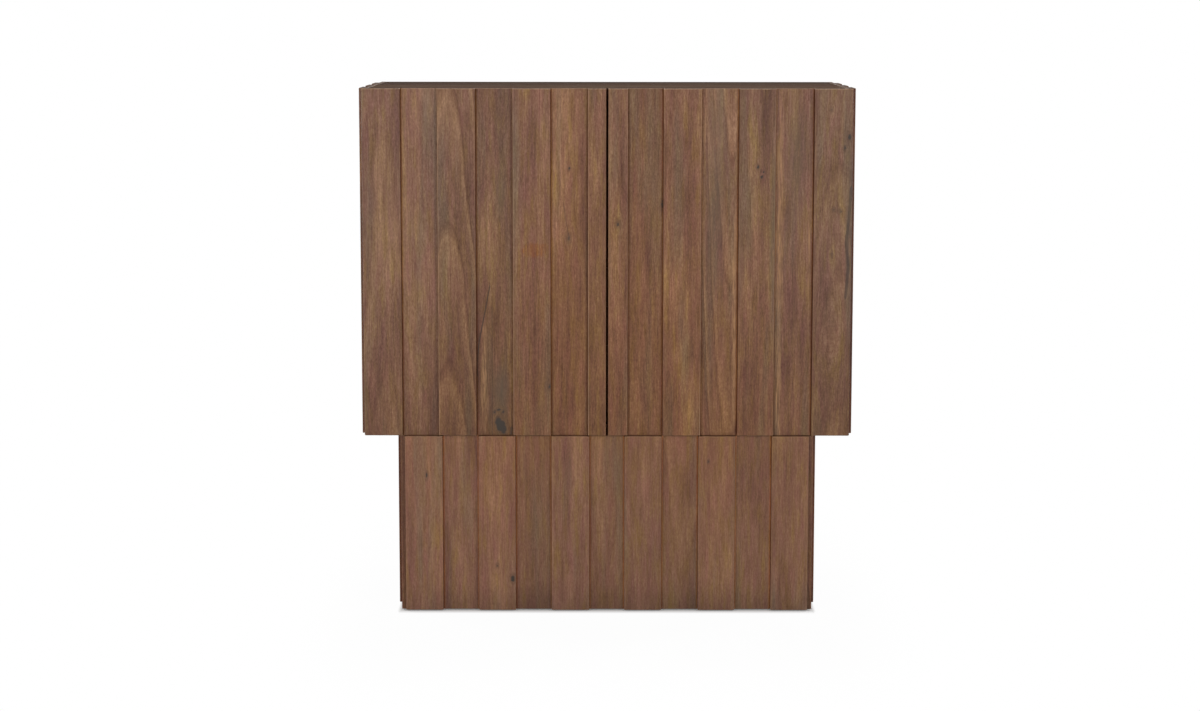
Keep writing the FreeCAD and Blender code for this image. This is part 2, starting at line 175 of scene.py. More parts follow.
def coat(tree, skin, colour, rough, height, strength, depth):
    """Link a finish to a Principled BSDF: colour, roughness, and relief as a bump."""
    bump = add(tree, "Bump", {"Strength": strength, "Distance": depth, "Height": height})
    for label, source in (("Base Color", colour), ("Roughness", rough), ("Normal", bump.outputs[0])):
        put(tree, skin.inputs[label], source)


print("node helpers ready")

# %% [markdown]
# ## Floor
# The cabinet stands on white, with only a thin line of shadow under it. A floor could be lit until
# it burns out, but that would light the cabinet too. Here the camera sees the floor as it is lit
# close to the base, and more and more as plain white further out, so the shadow stays where it
# belongs. All other rays meet a matt white floor.

# %% Floor


def sees_backdrop(tree):
    """1 for a ray from the camera, a mirror or a glass, 0 for light that only bounces."""
    path = add(tree, "LightPath")
    found = sums(tree, "MAXIMUM", path.outputs["Is Camera Ray"], path.outputs["Is Glossy Ray"])
    return sums(tree, "MAXIMUM", found, path.outputs["Is Transmission Ray"])


def outside(tree, place, middle, half):
    """How far a coordinate lies outside the stretch from middle - half to middle + half."""
    away = sums(tree, "ABSOLUTE", sums(tree, "SUBTRACT", place, middle))
    return sums(tree, "MAXIMUM", sums(tree, "SUBTRACT", away, half), 0.0)


FLOOR_REACH = 40.0
FLOOR_GREY = (0.9, 0.9, 0.9, 1)
WHITE = (1, 1, 1, 1)
SHADOW_NEAR = 0.85
SHADOW_FAR = 0.03
SHADOW_WIDTH = 0.030
SHADOW_START, SHADOW_END = 0.2, 1.0
SIDE_FADE = 4.0
SIDE_INSET = 0.008

floor_corners = [(x * FLOOR_REACH, y * FLOOR_REACH, 0) for x, y in ((-1, -1), (1, -1), (1, 1), (-1, 1))]
floor_mesh = bpy.data.meshes.new("floor")
floor_mesh.from_pydata(floor_corners, [], [(0, 1, 2, 3)])
floor = bpy.data.objects.new("floor", floor_mesh)
scene.collection.objects.link(floor)
floor_white = bpy.data.materials.new("floor_white")
floor_white.use_nodes = True
tree = floor_white.node_tree
tree.nodes.clear()
matt = add(tree, "BsdfDiffuse", {"Color": FLOOR_GREY})
plain = add(tree, "Emission", {"Color": WHITE, "Strength": 1.0})
foot_low, foot_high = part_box("right_base_staves")
middle_y, half_y = (foot_high.y + foot_low.y) / 2, (foot_high.y - foot_low.y) / 2
spot = add(tree, "SeparateXYZ", {0: add(tree, "TexCoord").outputs["Object"]}).outputs
aside = times(tree, outside(tree, spot["X"], 0.0, foot_high.x - SIDE_INSET), SIDE_FADE)
ahead = outside(tree, spot["Y"], middle_y, half_y)
squares = [sums(tree, "POWER", way, 2.0) for way in (aside, ahead)]
away = sums(tree, "SQRT", sums(tree, "ADD", *squares))
lit = add(tree, "MapRange", {0: away, 2: SHADOW_WIDTH, 3: SHADOW_NEAR, 4: SHADOW_FAR}).outputs[0]
faded = add(tree, "MapRange", {0: away, 1: SHADOW_START, 2: SHADOW_END, 3: 1.0, 4: 0.0},
            interpolation_type="SMOOTHSTEP").outputs[0]
share = sums(tree, "SUBTRACT", 1.0, times(tree, lit, faded))
share = times(tree, sees_backdrop(tree), share)
mixed = add(tree, "MixShader", {0: share, 1: matt.outputs[0], 2: plain.outputs[0]})
add(tree, "OutputMaterial", {"Surface": mixed.outputs[0]})
floor_mesh.materials.append(floor_white)
print("floor", 2 * FLOOR_REACH, "metres wide")

# %% [markdown]
# ## Sky and lamps
# Studio light is soft and comes from all round. One strong lamp would draw hard shadows between the
# staves. So two tall soft boxes light the front, two more catch the sides from behind, a wide one
# lights the back, and the sky fills in the rest. The camera sees the sky as plain white.

# %% Sky and lamps
SKY_LEVEL = 0.245
world = bpy.data.worlds.new("studio")
world.use_nodes = True
scene.world = world
tree = world.node_tree
tree.nodes.clear()
level = add(tree, "MapRange", {0: sees_backdrop(tree), 3: SKY_LEVEL, 4: 1.0})
sky = add(tree, "Background", {"Color": WHITE, "Strength": level.outputs[0]})
add(tree, "OutputWorld", {"Surface": sky.outputs[0]})


def lamp(name, place, target, width, height, power):
    """A soft box at a place, turned to a target, which lights but isn't seen itself."""
    data = bpy.data.lights.new(name, "AREA")
    data.shape = "RECTANGLE"
    data.size = width
    data.size_y = height
    data.energy = power
    made = bpy.data.objects.new(name, data)
    made.location = place
    aim = np.array(target) - np.array(place)
    turn = math.atan2(-aim[0], aim[1])
    made.rotation_euler = (math.atan2(math.hypot(aim[0], aim[1]), -aim[2]), 0, turn)
    made.visible_camera = False
    scene.collection.objects.link(made)


# name: place, target, width, height, power; the paired lamps are mirrored for the left side
PAIRED_LAMPS = {
    "soft_box": ((1.05, -2.2, 1.0), (0.1, -0.25, 0.75), 0.22, 1.7, 19),
    "wall_box": ((2.8, 1.5, 1.3), (0.3, 0.05, 0.7), 0.5, 1.8, 48),
}
BACK_LAMP = ((0.0, 3.4, 2.6), (0, 0.2, 0.8), 3.2, 1.6, 60)
for side, sign in (("left", -1), ("right", 1)):
    for name, (place, target, *rest) in PAIRED_LAMPS.items():
        lamp(f"{side}_{name}", (sign * place[0], *place[1:]), (sign * target[0], *target[1:]), *rest)
lamp("back_soft_box", *BACK_LAMP)

# %% [markdown]
# ## Boards
# Every stave is a sawn board with its sharp edges eased by hand. A bevelled cube would have the
# same hard line all along. Here the skin of a box is a set of six grids, with points close together
# where the corners will be eased, so that whole arrays can be bent at once.

# %% Box skins


def box_skin(counts):
    """The six sides of a box as grids of whole steps, welded where they meet.

    For each axis: all pairs (i, j) of the other two axes' steps, at step 0 and at the last one.
    """
    corners = []
    for axis in range(3):
        u, v = (axis + 1) % 3, (axis + 2) % 3
        i, j = np.meshgrid(np.arange(counts[u]), np.arange(counts[v]), indexing="ij")
        for side, turn in ((0, 1), (counts[axis], -1)):
            quad = np.zeros((i.size, 4, 3), int)
            quad[:, :, axis] = side
            quad[:, :, u] = i.reshape(-1, 1) + np.array([0, 0, 1, 1])[::turn]
            quad[:, :, v] = j.reshape(-1, 1) + np.array([0, 1, 1, 0])[::turn]
            corners.append(quad)
    corners = np.concatenate(corners)
    row, layer = counts[0] + 1, (counts[0] + 1) * (counts[1] + 1)
    key, quads = np.unique(corners @ np.array([1, row, layer]), return_inverse=True)
    return np.stack([key % row, key % layer // row, key // layer], 1), quads.reshape(-1, 4)


CORNER_STEPS = np.array([0, 0.586, 1, 1.3])


def cuts(length, cell, ease):
    """Places along one edge: close together in the eased corners, then about one cell apart."""
    corner = CORNER_STEPS * ease
    count = max(2, round((length - 2 * corner[-1]) / cell) + 1)
    middle = np.linspace(corner[-1], length - corner[-1], count)[1:-1]
    return np.concatenate([corner, middle, length - corner[::-1]])


print("a skin of 2 x 2 x 2 steps has", len(box_skin((2, 2, 2))[1]), "quads")

# %% [markdown]
# Sandpaper never leaves an even edge. A Bevel modifier would, so the points are pulled from the
# square corner onto a round one whose radius drifts along the board, and the show side dips a
# little in places, as planed wood does.

# %% Eased skins
WAVES = 4
WAVE_PITCHES = (6, 34)
WAVE_ALONG = 0.6


def drift(rng, *lengths):
    """A slow wave from -1 to 1: the mean of four sines of random pitch, turn and start."""
    total = 0
    for _ in range(WAVES):
        pitch = rng.uniform(*WAVE_PITCHES)
        turn = rng.normal(size=len(lengths))
        turn[-1] *= WAVE_ALONG
        start = rng.uniform(0, 2 * np.pi)
        total = total + np.sin(sum(t * l for t, l in zip(turn, lengths)) * pitch + start)
    return total / WAVES


def smooth(value, low, high):
    """0 below low, 1 above high, with a soft step 3t^2 - 2t^3 between."""
    t = np.clip((value - low) / (high - low), 0, 1)
    return t * t * (3 - 2 * t)


EASE_DRIFT = 0.35
EASE_ACROSS = 40
TINY = 1e-9


def eased_skin(size, ease, cell, wave, rng):
    """Points, outward normals and quads of an eased box that reaches from zero to size.

    q is a point on the square box, c is q clamped to a box that is smaller by the radius r, and
    d = q - c. The point becomes c + d max|d| / |d|, which rounds every corner and leaves the flat
    sides flat. wave is how far the show side, at depth zero, dips.
    """
    places = [cuts(length, step, ease) for length, step in zip(size, (cell[0], cell[1], cell[1]))]
    steps, quads = box_skin([len(place) - 1 for place in places])
    q = np.stack([places[axis][steps[:, axis]] for axis in range(3)], 1)
    radius = ease * (1 + EASE_DRIFT * drift(rng, q[:, 0] * EASE_ACROSS, q[:, 2]))[:, None]
    core = np.clip(q, radius, size - radius)
    d = q - core
    normal = d / np.maximum(np.linalg.norm(d, axis=1), TINY)[:, None]
    p = core + normal * np.abs(d).max(1)[:, None]
    front = smooth(-normal[:, 1], 0.6, 1)
    p[:, 1] += wave * front * (0.5 + 0.5 * drift(rng, q[:, 0], q[:, 2]))
    return p, normal, quads


print("eased skins ready")

# %% [markdown]
# Knots, stains and cracks could be painted on a picture for each stave, but a picture blurs from
# close by. Here every point keeps its distance from the board's marks instead. Distances stay sharp
# between the points of a grid, and the finish draws the line where they are small.

# %% Marks and cracks
MARKS = {"knot": 0, "sapwood": 1, "mineral": 2, "amber": 3}
NO_MARK = 4.0
NO_CHECK = 0.1
KNOT_BEND = 0.85
KNOT_REACH = 5.0


def mark_distances(p, tree, marks):
    """Distance from the middle of the nearest mark of each kind, in half sizes of that mark.

    A mark is (kind, across, along, half width, half length, strength), measured from the low corner.
    The grain, as places in the tree, is pushed aside by a knot, and by a swell, which has no colour.
    """
    spots = np.full((len(p), len(MARKS)), NO_MARK)
    for kind, across, along, half_width, half_length, strength in marks:
        away = np.hypot((p[:, 0] - across) / half_width, (p[:, 2] - along) / half_length)
        if kind in MARKS:
            spots[:, MARKS[kind]] = np.minimum(spots[:, MARKS[kind]], away + 1 - strength)
        if kind in ("knot", "swell"):
            tree[:, 0] -= (p[:, 0] - across) * KNOT_BEND * np.exp(-away ** 2 / KNOT_REACH)
    return spots


def check_distances(p, checks):
    """How far aside of each crack a point lies, and further where it is past the crack's ends.

    A crack is a line through (across, along) points that rise along the board; a board has up to three.
    """
    cracks = np.full((len(p), 3), NO_CHECK)
    for number, line in enumerate(checks):
        if not line:
            continue
        across, along = np.array(line).T
        aside = p[:, 0] - np.interp(p[:, 2], along, across)
        past = np.maximum(np.maximum(along[0] - p[:, 2], p[:, 2] - along[-1]), 0)
        cracks[:, number] = aside + np.sign(aside) * past
    return cracks


print(len(MARKS), "kinds of marks")

# %% [markdown]
# A board puts this together, and adds where each point lies in the tree that it was sawn from, how
# dark and warm it is, and how worn. Part of it is painted light: a board gets lighter and greyer
# towards the top as if lit from above, darker at the bottom as painted shade, painted highlights on
# its lit arrises, and painted shade on its side faces and beside the proud staves. The finish could
# guess wear from the shape, but a board knows which of its edges face the light and which of its sides
# lie in shade.

# %% Boards
PAINTED_JOINT_WIDTH = 0.005
FOOT_RUB = 0.2
# height of the painted shade by the floor, at the low end of a board
PAINTED_FOOT_SHADE_BAND = 0.07
SLOPE = 0.05
PITH_ACROSS = (0.1, 0.9)
PITH_DEPTH = (0.02, 0.12)
TREE_STEP = 3.7


def board(low, high, grain, face, ease, seed, cell=(0.004, 0.006), tone=0.5, warmth=0.5, figure=0.3,
          contrast=1.0, painted_top_light=0.0, painted_top_sheen=0.0, painted_foot_shade=0.0, wave=0.0002, stain=1.0, thirst=1.0, painted_joint_shade=(0, 0),
          rub=(1, 1), head_rub_and_highlight=1.4, marks=(), checks=()):
    """One eased board between two corners, as arrays.

    grain is the axis that the wood grows along, face the axis and sign of the show side. fade
    lightens the board from its low to its high end, painted light from above, and darkens its top
    where it is negative, painted shade. glow cools and greys it towards the high end and warms it the
    other way, a painted sheen of the light from above. foot darkens its lowest few centimetres,
    painted shade by the floor. stain is the share of dark stain, with painted shade, left on its long
    sides, thirst on its ends. pool is painted shade along its low and its high edge, and painted
    light where it is negative. rub is how far these edges are rubbed and given a painted highlight,
    and head_rub_and_highlight the upper end.
    """
    rng = np.random.default_rng(seed)
    low, high = np.array(low), np.array(high)
    depth_axis, sign = face
    across_axis = 3 - grain - depth_axis
    order = [across_axis, depth_axis, grain]
    size = (high - low)[order]
    p, normal, quads = eased_skin(size, ease, cell, wave, rng)
    slope = rng.uniform(-SLOPE, SLOPE)
    tree = np.stack([p[:, 0] - size[0] * rng.uniform(*PITH_ACROSS),
                     p[:, 1] + rng.uniform(*PITH_DEPTH) + slope * p[:, 2],
                     p[:, 2] + TREE_STEP * seed], 1)
    spots = mark_distances(p, tree, marks)
    n = np.abs(normal)
    long_rub_and_highlight = np.where(p[:, 0] < size[0] / 2, *rub)
    end_rub_and_highlight = np.where(p[:, 2] < size[2] / 2, FOOT_RUB, head_rub_and_highlight)
    # rubbed arrises with a painted highlight, more on edges that face the lamps
    edge = long_rub_and_highlight * n[:, 0] * n[:, 1] + end_rub_and_highlight * n[:, 1] * n[:, 2] + n[:, 2] * n[:, 0]
    edge = np.clip(2 * edge, 0, head_rub_and_highlight)
    # painted shade along the recessed staves' edges beside the proud ones, painted light where pool is
    # negative
    low_edge, high_edge = (1 - smooth(inset, 0, PAINTED_JOINT_WIDTH) for inset in (p[:, 0], size[0] - p[:, 0]))
    wear = np.stack([edge, stain * smooth(n[:, 0], 0.55, 1.0), thirst * smooth(n[:, 2], 0.8, 1.0),
                     painted_joint_shade[0] * low_edge + painted_joint_shade[1] * high_edge], 1)
    rise = p[:, 2] / size[2] - 0.5
    # fade paints light from above, and painted shade at the top where it is negative; foot paints shade by
    # the floor
    tones = tone + painted_top_light * rise - painted_foot_shade * (1 - smooth(p[:, 2], 0, PAINTED_FOOT_SHADE_BAND))
    # glow greys and cools the high end: a painted sheen of the light from above
    look = np.stack([tones, warmth - painted_top_sheen * rise, np.full(len(p), figure), np.full(len(p), contrast)], 1)

    placed = np.empty_like(p)
    placed[:, across_axis] = low[across_axis] + p[:, 0]
    placed[:, depth_axis] = low[depth_axis] + p[:, 1] if sign < 0 else high[depth_axis] - p[:, 1]
    placed[:, grain] = low[grain] + p[:, 2]
    even = (order[1] - order[0]) % 3 == 1
    if even != (sign < 0):
        quads = quads[:, ::-1]
    return {"points": placed, "quads": quads, "grain_place": tree, "board_look": look,
            "board_marks": spots, "board_checks": check_distances(p, checks), "board_wear_and_painted_light": wear}


print("boards ready")

# %% [markdown]
# A mesh takes one board, or all the boards of one glue-up. The other arrays go with it as
# attributes of its points, which a material can read by name. Vertex groups hold only one number
# for each point, and an attribute up to four.

# %% Laying boards


def lay(name, parts, material, body, nodes=()):
    """Put arrays of one or more boards into one mesh that rides on a body and stands for CAD nodes."""
    starts = np.cumsum([0] + [len(p["points"]) for p in parts[:-1]])
    quads = np.concatenate([p["quads"] + start for p, start in zip(parts, starts)])
    mesh = bpy.data.meshes.new(name)
    mesh.from_pydata(np.concatenate([p["points"] for p in parts]), [], quads)
    for label in parts[0]:
        if label not in ("points", "quads"):
            values = np.concatenate([p[label] for p in parts]).astype(np.float32)
            kind, field = ("FLOAT_COLOR", "color") if values.shape[1] == 4 else ("FLOAT_VECTOR", "vector")
            mesh.attributes.new(label, kind, "POINT").data.foreach_set(field, values.ravel())
    mesh.polygons.foreach_set("use_smooth", np.ones(len(quads), bool))
    mesh.materials.append(material)
    mesh.update()
    piece = bpy.data.objects.new(name, mesh)
    scene.collection.objects.link(piece)
    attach(piece, body)
    if nodes:
        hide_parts(*nodes)


print("boards can be laid")

# %% [markdown]
# ## Wood grain
# The wood is a walnut-brown hardwood with soft streaks of purple, gold and grey, short pores and
# hardly any gloss. A photograph of boards would repeat from stave to stave. This group works in the
# tree's own coordinates instead: rings round the pith, long streaks along the trunk, pores as
# short dashes, so a board cut anywhere gets fitting sides and ends too.

# %% Wood grain layers
RING = 0.013
WAVER_STRETCH = (9, 9, 3)
WAVER_REACH = (0.012, 0.012, 0)
# each noise: spots per metre across and along the tree, detail and roughness
LAYERS = {
    "bands": ((26, 26, 2.6), 7, 0.64),
    "streaks": ((110, 110, 8), 5, 0.64),
    "gold": ((75, 75, 11), 5, 0.66),
    "greys": ((34, 34, 2.4), 2, 0.5),
    "mottle": ((75, 75, 48), 4, 0.65),
    "flecks": ((300, 300, 170), 2, 0.6),
    "fine": ((400, 400, 15), 3, 0.65),
    "fibres": ((1100, 1100, 95), 2, 0.6),
    "pores": ((1300, 1300, 110), 2, 0.5),
}
wood, given, result = new_group(
    "Wood grain",
    [("Place", "Vector"), *((label, "Float") for label in ("Tone", "Warmth", "Figure", "Contrast"))],
    [("Color", "Color"), ("Roughness", "Float"), ("Height", "Float")])
waver = add(wood, "VectorMath", {0: given["Place"], 1: WAVER_STRETCH}, operation="MULTIPLY")
waver = add(wood, "TexNoise", {"Vector": waver.outputs[0], "Scale": 1.0, "Detail": 2.0})
waver = add(wood, "VectorMath", {0: waver.outputs["Color"], 1: (0.5, 0.5, 0.5)}, operation="SUBTRACT")
place = add(wood, "VectorMath", {0: waver.outputs[0], 1: WAVER_REACH, 2: given["Place"]},
            operation="MULTIPLY_ADD").outputs[0]
layers = {name: noise(wood, place, *has) for name, has in LAYERS.items()}
pores = ramp(wood, layers["pores"], [(0.60, 0.0), (0.70, 1.0)])
flat_place = add(wood, "VectorMath", {0: place, 1: (1, 1, 0)}, operation="MULTIPLY")
pith = add(wood, "VectorMath", {0: flat_place.outputs[0]}, operation="LENGTH")
ring = sums(wood, "FRACT", sums(wood, "DIVIDE", pith.outputs["Value"], RING))
flame = ramp(wood, ring, [(0.0, 0.0), (0.45, 0.05), (0.80, 1.0), (0.93, 0.3), (1.0, 0.0)])
flame = times(wood, flame, given["Figure"])
rims = ramp(wood, ring, [(0.80, 0.0), (0.91, 1.0), (0.96, 1.0), (1.0, 0.0)])
rims = times(wood, rims, given["Figure"])
print(len(LAYERS), "layers of noise")

# %% [markdown]
# Bands and streaks choose the colour: pale ones are yellower and dark ones redder, as in the real
# wood. A plain lighter and darker brown would look like print. Flecks, fibres, pores and the rims
# of the rings only darken it, and most of all its blue, so that shadows in the grain stay warm.

# %% Wood grain colours
mixed = scaled(wood, layers["streaks"], 0.22, 0.01)
mixed = scaled(wood, layers["bands"], 0.76, mixed)
mixed = scaled(wood, sums(wood, "SUBTRACT", mixed, 0.5), given["Contrast"], 0.5)
hue = ramp(wood, mixed, [(0.32, linear(84, 53, 43)), (0.43, linear(104, 71, 54)),
                         (0.50, linear(114, 80, 60)), (0.57, linear(124, 90, 66)),
                         (0.68, linear(144, 109, 78))])
gold_stops = [(0.34, (1.05, 0.95, 1.13, 1)), (0.50, WHITE), (0.66, (0.98, 1.04, 0.70, 1))]
hue = blend(wood, 1.0, hue, ramp(wood, layers["gold"], gold_stops), "MULTIPLY")
grey_share = times(wood, ramp(wood, layers["greys"], [(0.52, 0.0), (0.72, 1.0)]), 0.6)
hue = blend(wood, grey_share, hue, linear(98, 81, 64))
hue = blend(wood, times(wood, flame, 0.6), hue, linear(146, 110, 80))
warm_stops = [(0.0, (0.96, 1.0, 1.10, 1)), (0.5, WHITE), (1.0, (1.06, 0.94, 0.74, 1))]
hue = blend(wood, 1.0, hue, ramp(wood, given["Warmth"], warm_stops), "MULTIPLY")
dark = scaled(wood, layers["mottle"], 0.25, 0.875)
for name, depth in (("flecks", 0.75), ("fine", 1.10), ("fibres", 0.90)):
    dark = times(wood, dark, scaled(wood, layers[name], depth, 1 - depth / 2))
for layer, depth in ((pores, 0.20), (rims, 0.25)):
    dark = times(wood, dark, scaled(wood, layer, -depth, 1.02))
level = scaled(wood, given["Tone"], 0.60, 0.70)
powers = [times(wood, given["Contrast"], power) for power in (1.0, 1.32, 1.45)]
shade = add(wood, "CombineColor", {channel: times(wood, sums(wood, "POWER", dark, power), level)
                                   for channel, power in enumerate(powers)})
put(wood, result["Color"], blend(wood, 1.0, hue, shade.outputs[0], "MULTIPLY"))
rough = scaled(wood, layers["streaks"], 0.16, 0.42)
put(wood, result["Roughness"], scaled(wood, pores, 0.10, rough))
relief = scaled(wood, layers["fibres"], 0.5, times(wood, layers["streaks"], 0.4))
put(wood, result["Height"], scaled(wood, pores, -0.6, relief))
print("wood grain group:", len(wood.nodes), "nodes")

# %% [markdown]
# ## Oiled staves
# On the boards' own arrays the grain gets what happened to each board, and painted light: knots,
# mineral stains, fibrous pale sapwood, cracks, arrises rubbed lighter and given a painted highlight
# where they face the lamps, side faces darkened by stain and painted shade, painted shade in the
# corners of recessed staves beside proud ones, painted light on the base's joints, and thirsty end
# grain. All masks come from the mesh, so the marks stay put in every view; noise frays their borders,
# along the grain or in clots.

# %% Stave material
TEAR = 1.6
# width of a crack, and how dark it is, for each of a board's three kinds
CRACKS = {"X": (0.0008, 0.75), "Y": (0.0006, 0.40), "Z": (0.0020, 0.60)}
CRACK_BROWN = linear(50, 40, 35)
# the pale colour of rubbed arrises also paints the highlight where they face the lamps
RUBBED_AND_HIGHLIGHT_PALE = linear(180, 148, 120)
END_BROWN = linear(70, 52, 41)
# tints that multiply the grain: painted shade beside proud staves, painted light on the base's joints,
# and stain with painted shade on the side faces
PAINTED_JOINT_SHADE_TINT = (1.05, 0.78, 0.50, 1)
PAINTED_JOINT_LIGHT_TINT = (1.85, 1.40, 0.92, 1)
SIDE_STAIN_AND_SHADE_TINT = (0.46, 0.22, 0.10, 1)


def with_marks(tree, read, ragged, fray, colour):
    """The colour with sapwood, mineral stain, amber, knots and cracks."""
    place = read["grain_place"]["Vector"]
    spots, cracks = (add(tree, "SeparateXYZ", {0: read[label]["Vector"]}).outputs
                     for label in ("board_marks", "board_checks"))
    clotted = noise(tree, place, (240, 240, 150), 3, 0.65)
    fibrous = ramp(tree, noise(tree, place, (480, 480, 22), 3, 0.65), [(0.40, 0.12), (0.60, 0.85)])
    # sapwood, mineral stain, amber, the ring round a knot and the knot itself
    for distance, tear, far, near, share, how, stain in (
            (spots["Y"], ragged, 1.6, 0.4, fibrous, "MIX", linear(164, 124, 86)),
            (spots["Z"], ragged, 1.7, 0.3, times(tree, fray, 0.70), "MIX", linear(82, 69, 57)),
            (read["board_marks"]["Alpha"], clotted, 1.9, 1.0, fibrous, "MULTIPLY", (1.12, 0.82, 0.34, 1)),
            (spots["X"], ragged, 2.4, 0.9, 0.55, "MIX", linear(84, 60, 46)),
            (spots["X"], clotted, 1.25, 0.7, 0.93, "MIX", linear(51, 45, 40))):
        torn = scaled(tree, tear, TEAR, sums(tree, "SUBTRACT", distance, TEAR / 2))
        mask = add(tree, "MapRange", {0: torn, 1: near, 2: far, 3: share, 4: 0.0},
                   interpolation_type="SMOOTHSTEP")
        colour = blend(tree, mask.outputs[0], colour, stain, how)
    for kind, (width, share) in CRACKS.items():
        aside = sums(tree, "ABSOLUTE", cracks[kind])
        gap = add(tree, "MapRange", {0: aside, 1: width, 2: 2 * width, 3: share, 4: 0.0})
        colour = blend(tree, gap.outputs[0], colour, CRACK_BROWN)
    return colour


def with_wear_and_painted_light(tree, wear, painted_joint_light_and_shade, fray, colour):
    """The colour with rubbed edges and painted highlights, painted shade and painted light along the
    joints, stain and painted shade on the sides, and thirsty ends.
    """
    # pale rubbed arrises, which also paint the highlight on edges that face the lamps
    rubbed = times(tree, wear["X"], times(tree, fray, 0.62), clamp=True)
    colour = blend(tree, rubbed, colour, RUBBED_AND_HIGHLIGHT_PALE)
    # painted shade in the corners of recessed staves beside proud ones, and painted light on the base's
    # joints where negative
    colour = blend(tree, painted_joint_light_and_shade, colour, PAINTED_JOINT_SHADE_TINT, "MULTIPLY")
    painted_joint_light = times(tree, painted_joint_light_and_shade, -1.0, clamp=True)
    colour = blend(tree, painted_joint_light, colour, PAINTED_JOINT_LIGHT_TINT, "MULTIPLY")
    # dark side faces: stain with painted shade in the steps between staves and in the door gap
    side = times(tree, wear["Y"], 0.90, clamp=True)
    colour = blend(tree, side, colour, SIDE_STAIN_AND_SHADE_TINT, "MULTIPLY")
    return blend(tree, times(tree, wear["Z"], 0.55), colour, END_BROWN)


def wood_finish(name, tint=WHITE, shine=0.2, matt=0.0):
    """The grain with the marks and the wear that a board's arrays carry."""
    material, tree, skin = new_material(name)
    read = {label: add(tree, "Attribute", attribute_name=label).outputs
            for label in ("grain_place", "board_look", "board_marks", "board_checks", "board_wear_and_painted_light")}
    look, wear = (add(tree, "SeparateXYZ", {0: read[label]["Vector"]}).outputs
                  for label in ("board_look", "board_wear_and_painted_light"))
    place = read["grain_place"]["Vector"]
    grain = add(tree, "Group", {"Place": place, "Tone": look["X"], "Warmth": look["Y"], "Figure": look["Z"],
                                "Contrast": read["board_look"]["Alpha"]}, node_tree=wood).outputs
    ragged = noise(tree, place, (160, 160, 22), 4, 0.6)
    fray = ramp(tree, ragged, [(0.30, 0.35), (0.62, 1.0)])
    colour = with_marks(tree, read, ragged, fray, grain["Color"])
    colour = with_wear_and_painted_light(tree, wear, read["board_wear_and_painted_light"]["Alpha"], fray, colour)
    colour = blend(tree, 1.0, colour, tint, "MULTIPLY")
    rough = scaled(tree, wear["Z"], 0.45, grain["Roughness"])
    rough = sums(tree, "ADD", rough, matt, clamp=True)
    skin.inputs["Specular IOR Level"].default_value = shine
    coat(tree, skin, colour, rough, grain["Height"], 0.35, 0.0004)
    return material


stave_oil = wood_finish("stave_oil")
print("stave finish ready")

# %% [markdown]
# ## Marks of the staves
# Knots, cracks, mineral stains and strips of sapwood make each stave of a real cabinet known again.
# Random marks would be quicker to write, but they would sit anywhere. So they are listed one by one,
# in metres from the lower left corner of the stave. Some staves also show more of the rings.

# %% Marks of the staves
STAVE_MARKS = {
    "left_door_stave_4": [
        ("knot", 0.047, 0.030, 0.006, 0.010, 1.1), ("knot", 0.053, 0.020, 0.007, 0.010, 1.3),
        ("knot", 0.058, 0.012, 0.005, 0.008, 1.1), ("knot", 0.038, 0.051, 0.003, 0.006, 0.8),
        ("knot", 0.048, 0.057, 0.006, 0.003, 0.8), ("knot", 0.057, 0.053, 0.003, 0.005, 0.8),
        ("mineral", 0.053, 0.100, 0.016, 0.050, 0.9), ("sapwood", 0.017, 0.120, 0.012, 0.150, 0.5),
        ("mineral", 0.052, 0.52, 0.014, 0.07, 0.6),
    ],
    "left_door_stave_5": [
        ("knot", 0.079, 0.108, 0.005, 0.008, 0.5), ("amber", 0.046, 0.404, 0.018, 0.010, 1.0),
        ("amber", 0.068, 0.410, 0.007, 0.007, 0.7),
    ],
    "left_door_stave_6": [
        ("knot", 0.039, 0.430, 0.006, 0.011, 0.4), ("knot", 0.040, 0.580, 0.003, 0.006, 0.4),
    ],
    "right_door_stave_1": [("knot", 0.021, 0.460, 0.006, 0.010, 0.35)],
    "right_door_stave_2": [("knot", 0.074, 0.504, 0.003, 0.012, 0.8)],
    "right_door_stave_4": [
        ("mineral", 0.030, 0.55, 0.022, 0.22, 0.9), ("sapwood", 0.073, 0.25, 0.005, 0.22, 0.9),
        ("sapwood", 0.006, 0.66, 0.004, 0.09, 0.5),
    ],
    "right_door_stave_5": [
        ("knot", 0.041, 0.583, 0.0025, 0.005, 0.9), ("knot", 0.047, 0.575, 0.002, 0.003, 0.8),
        ("knot", 0.053, 0.572, 0.0025, 0.004, 0.6), ("knot", 0.049, 0.561, 0.003, 0.004, 0.9),
        ("mineral", 0.075, 0.42, 0.006, 0.22, 1.0),
    ],
    "right_door_stave_6": [
        ("sapwood", 0.009, 0.46, 0.009, 0.26, 0.8), ("sapwood", 0.009, 0.12, 0.009, 0.20, 0.6),
        ("sapwood", 0.0735, 0.42, 0.004, 0.17, 0.6), ("mineral", 0.045, 0.60, 0.028, 0.16, 0.6),
    ],
    "right_door_stave_7": [
        ("knot", 0.043, 0.492, 0.004, 0.005, 0.6), ("knot", 0.058, 0.489, 0.004, 0.005, 0.6),
        ("knot", 0.036, 0.705, 0.004, 0.006, 0.6), ("knot", 0.075, 0.647, 0.004, 0.008, 0.8),
        ("knot", 0.066, 0.624, 0.003, 0.006, 0.8), ("knot", 0.040, 0.394, 0.003, 0.009, 0.6),
        ("mineral", 0.078, 0.44, 0.007, 0.16, 1.1), ("swell", 0.040, 0.220, 0.014, 0.050, 1.0),
    ],
    "base_stave_1": [("knot", 0.047, 0.300, 0.003, 0.010, 0.7)],
    "base_stave_3": [
        ("knot", 0.074, 0.070, 0.005, 0.008, 0.8), ("knot", 0.040, 0.100, 0.003, 0.005, 0.6),
    ],
    "base_stave_9": [("knot", 0.022, 0.330, 0.003, 0.005, 0.7)],
}
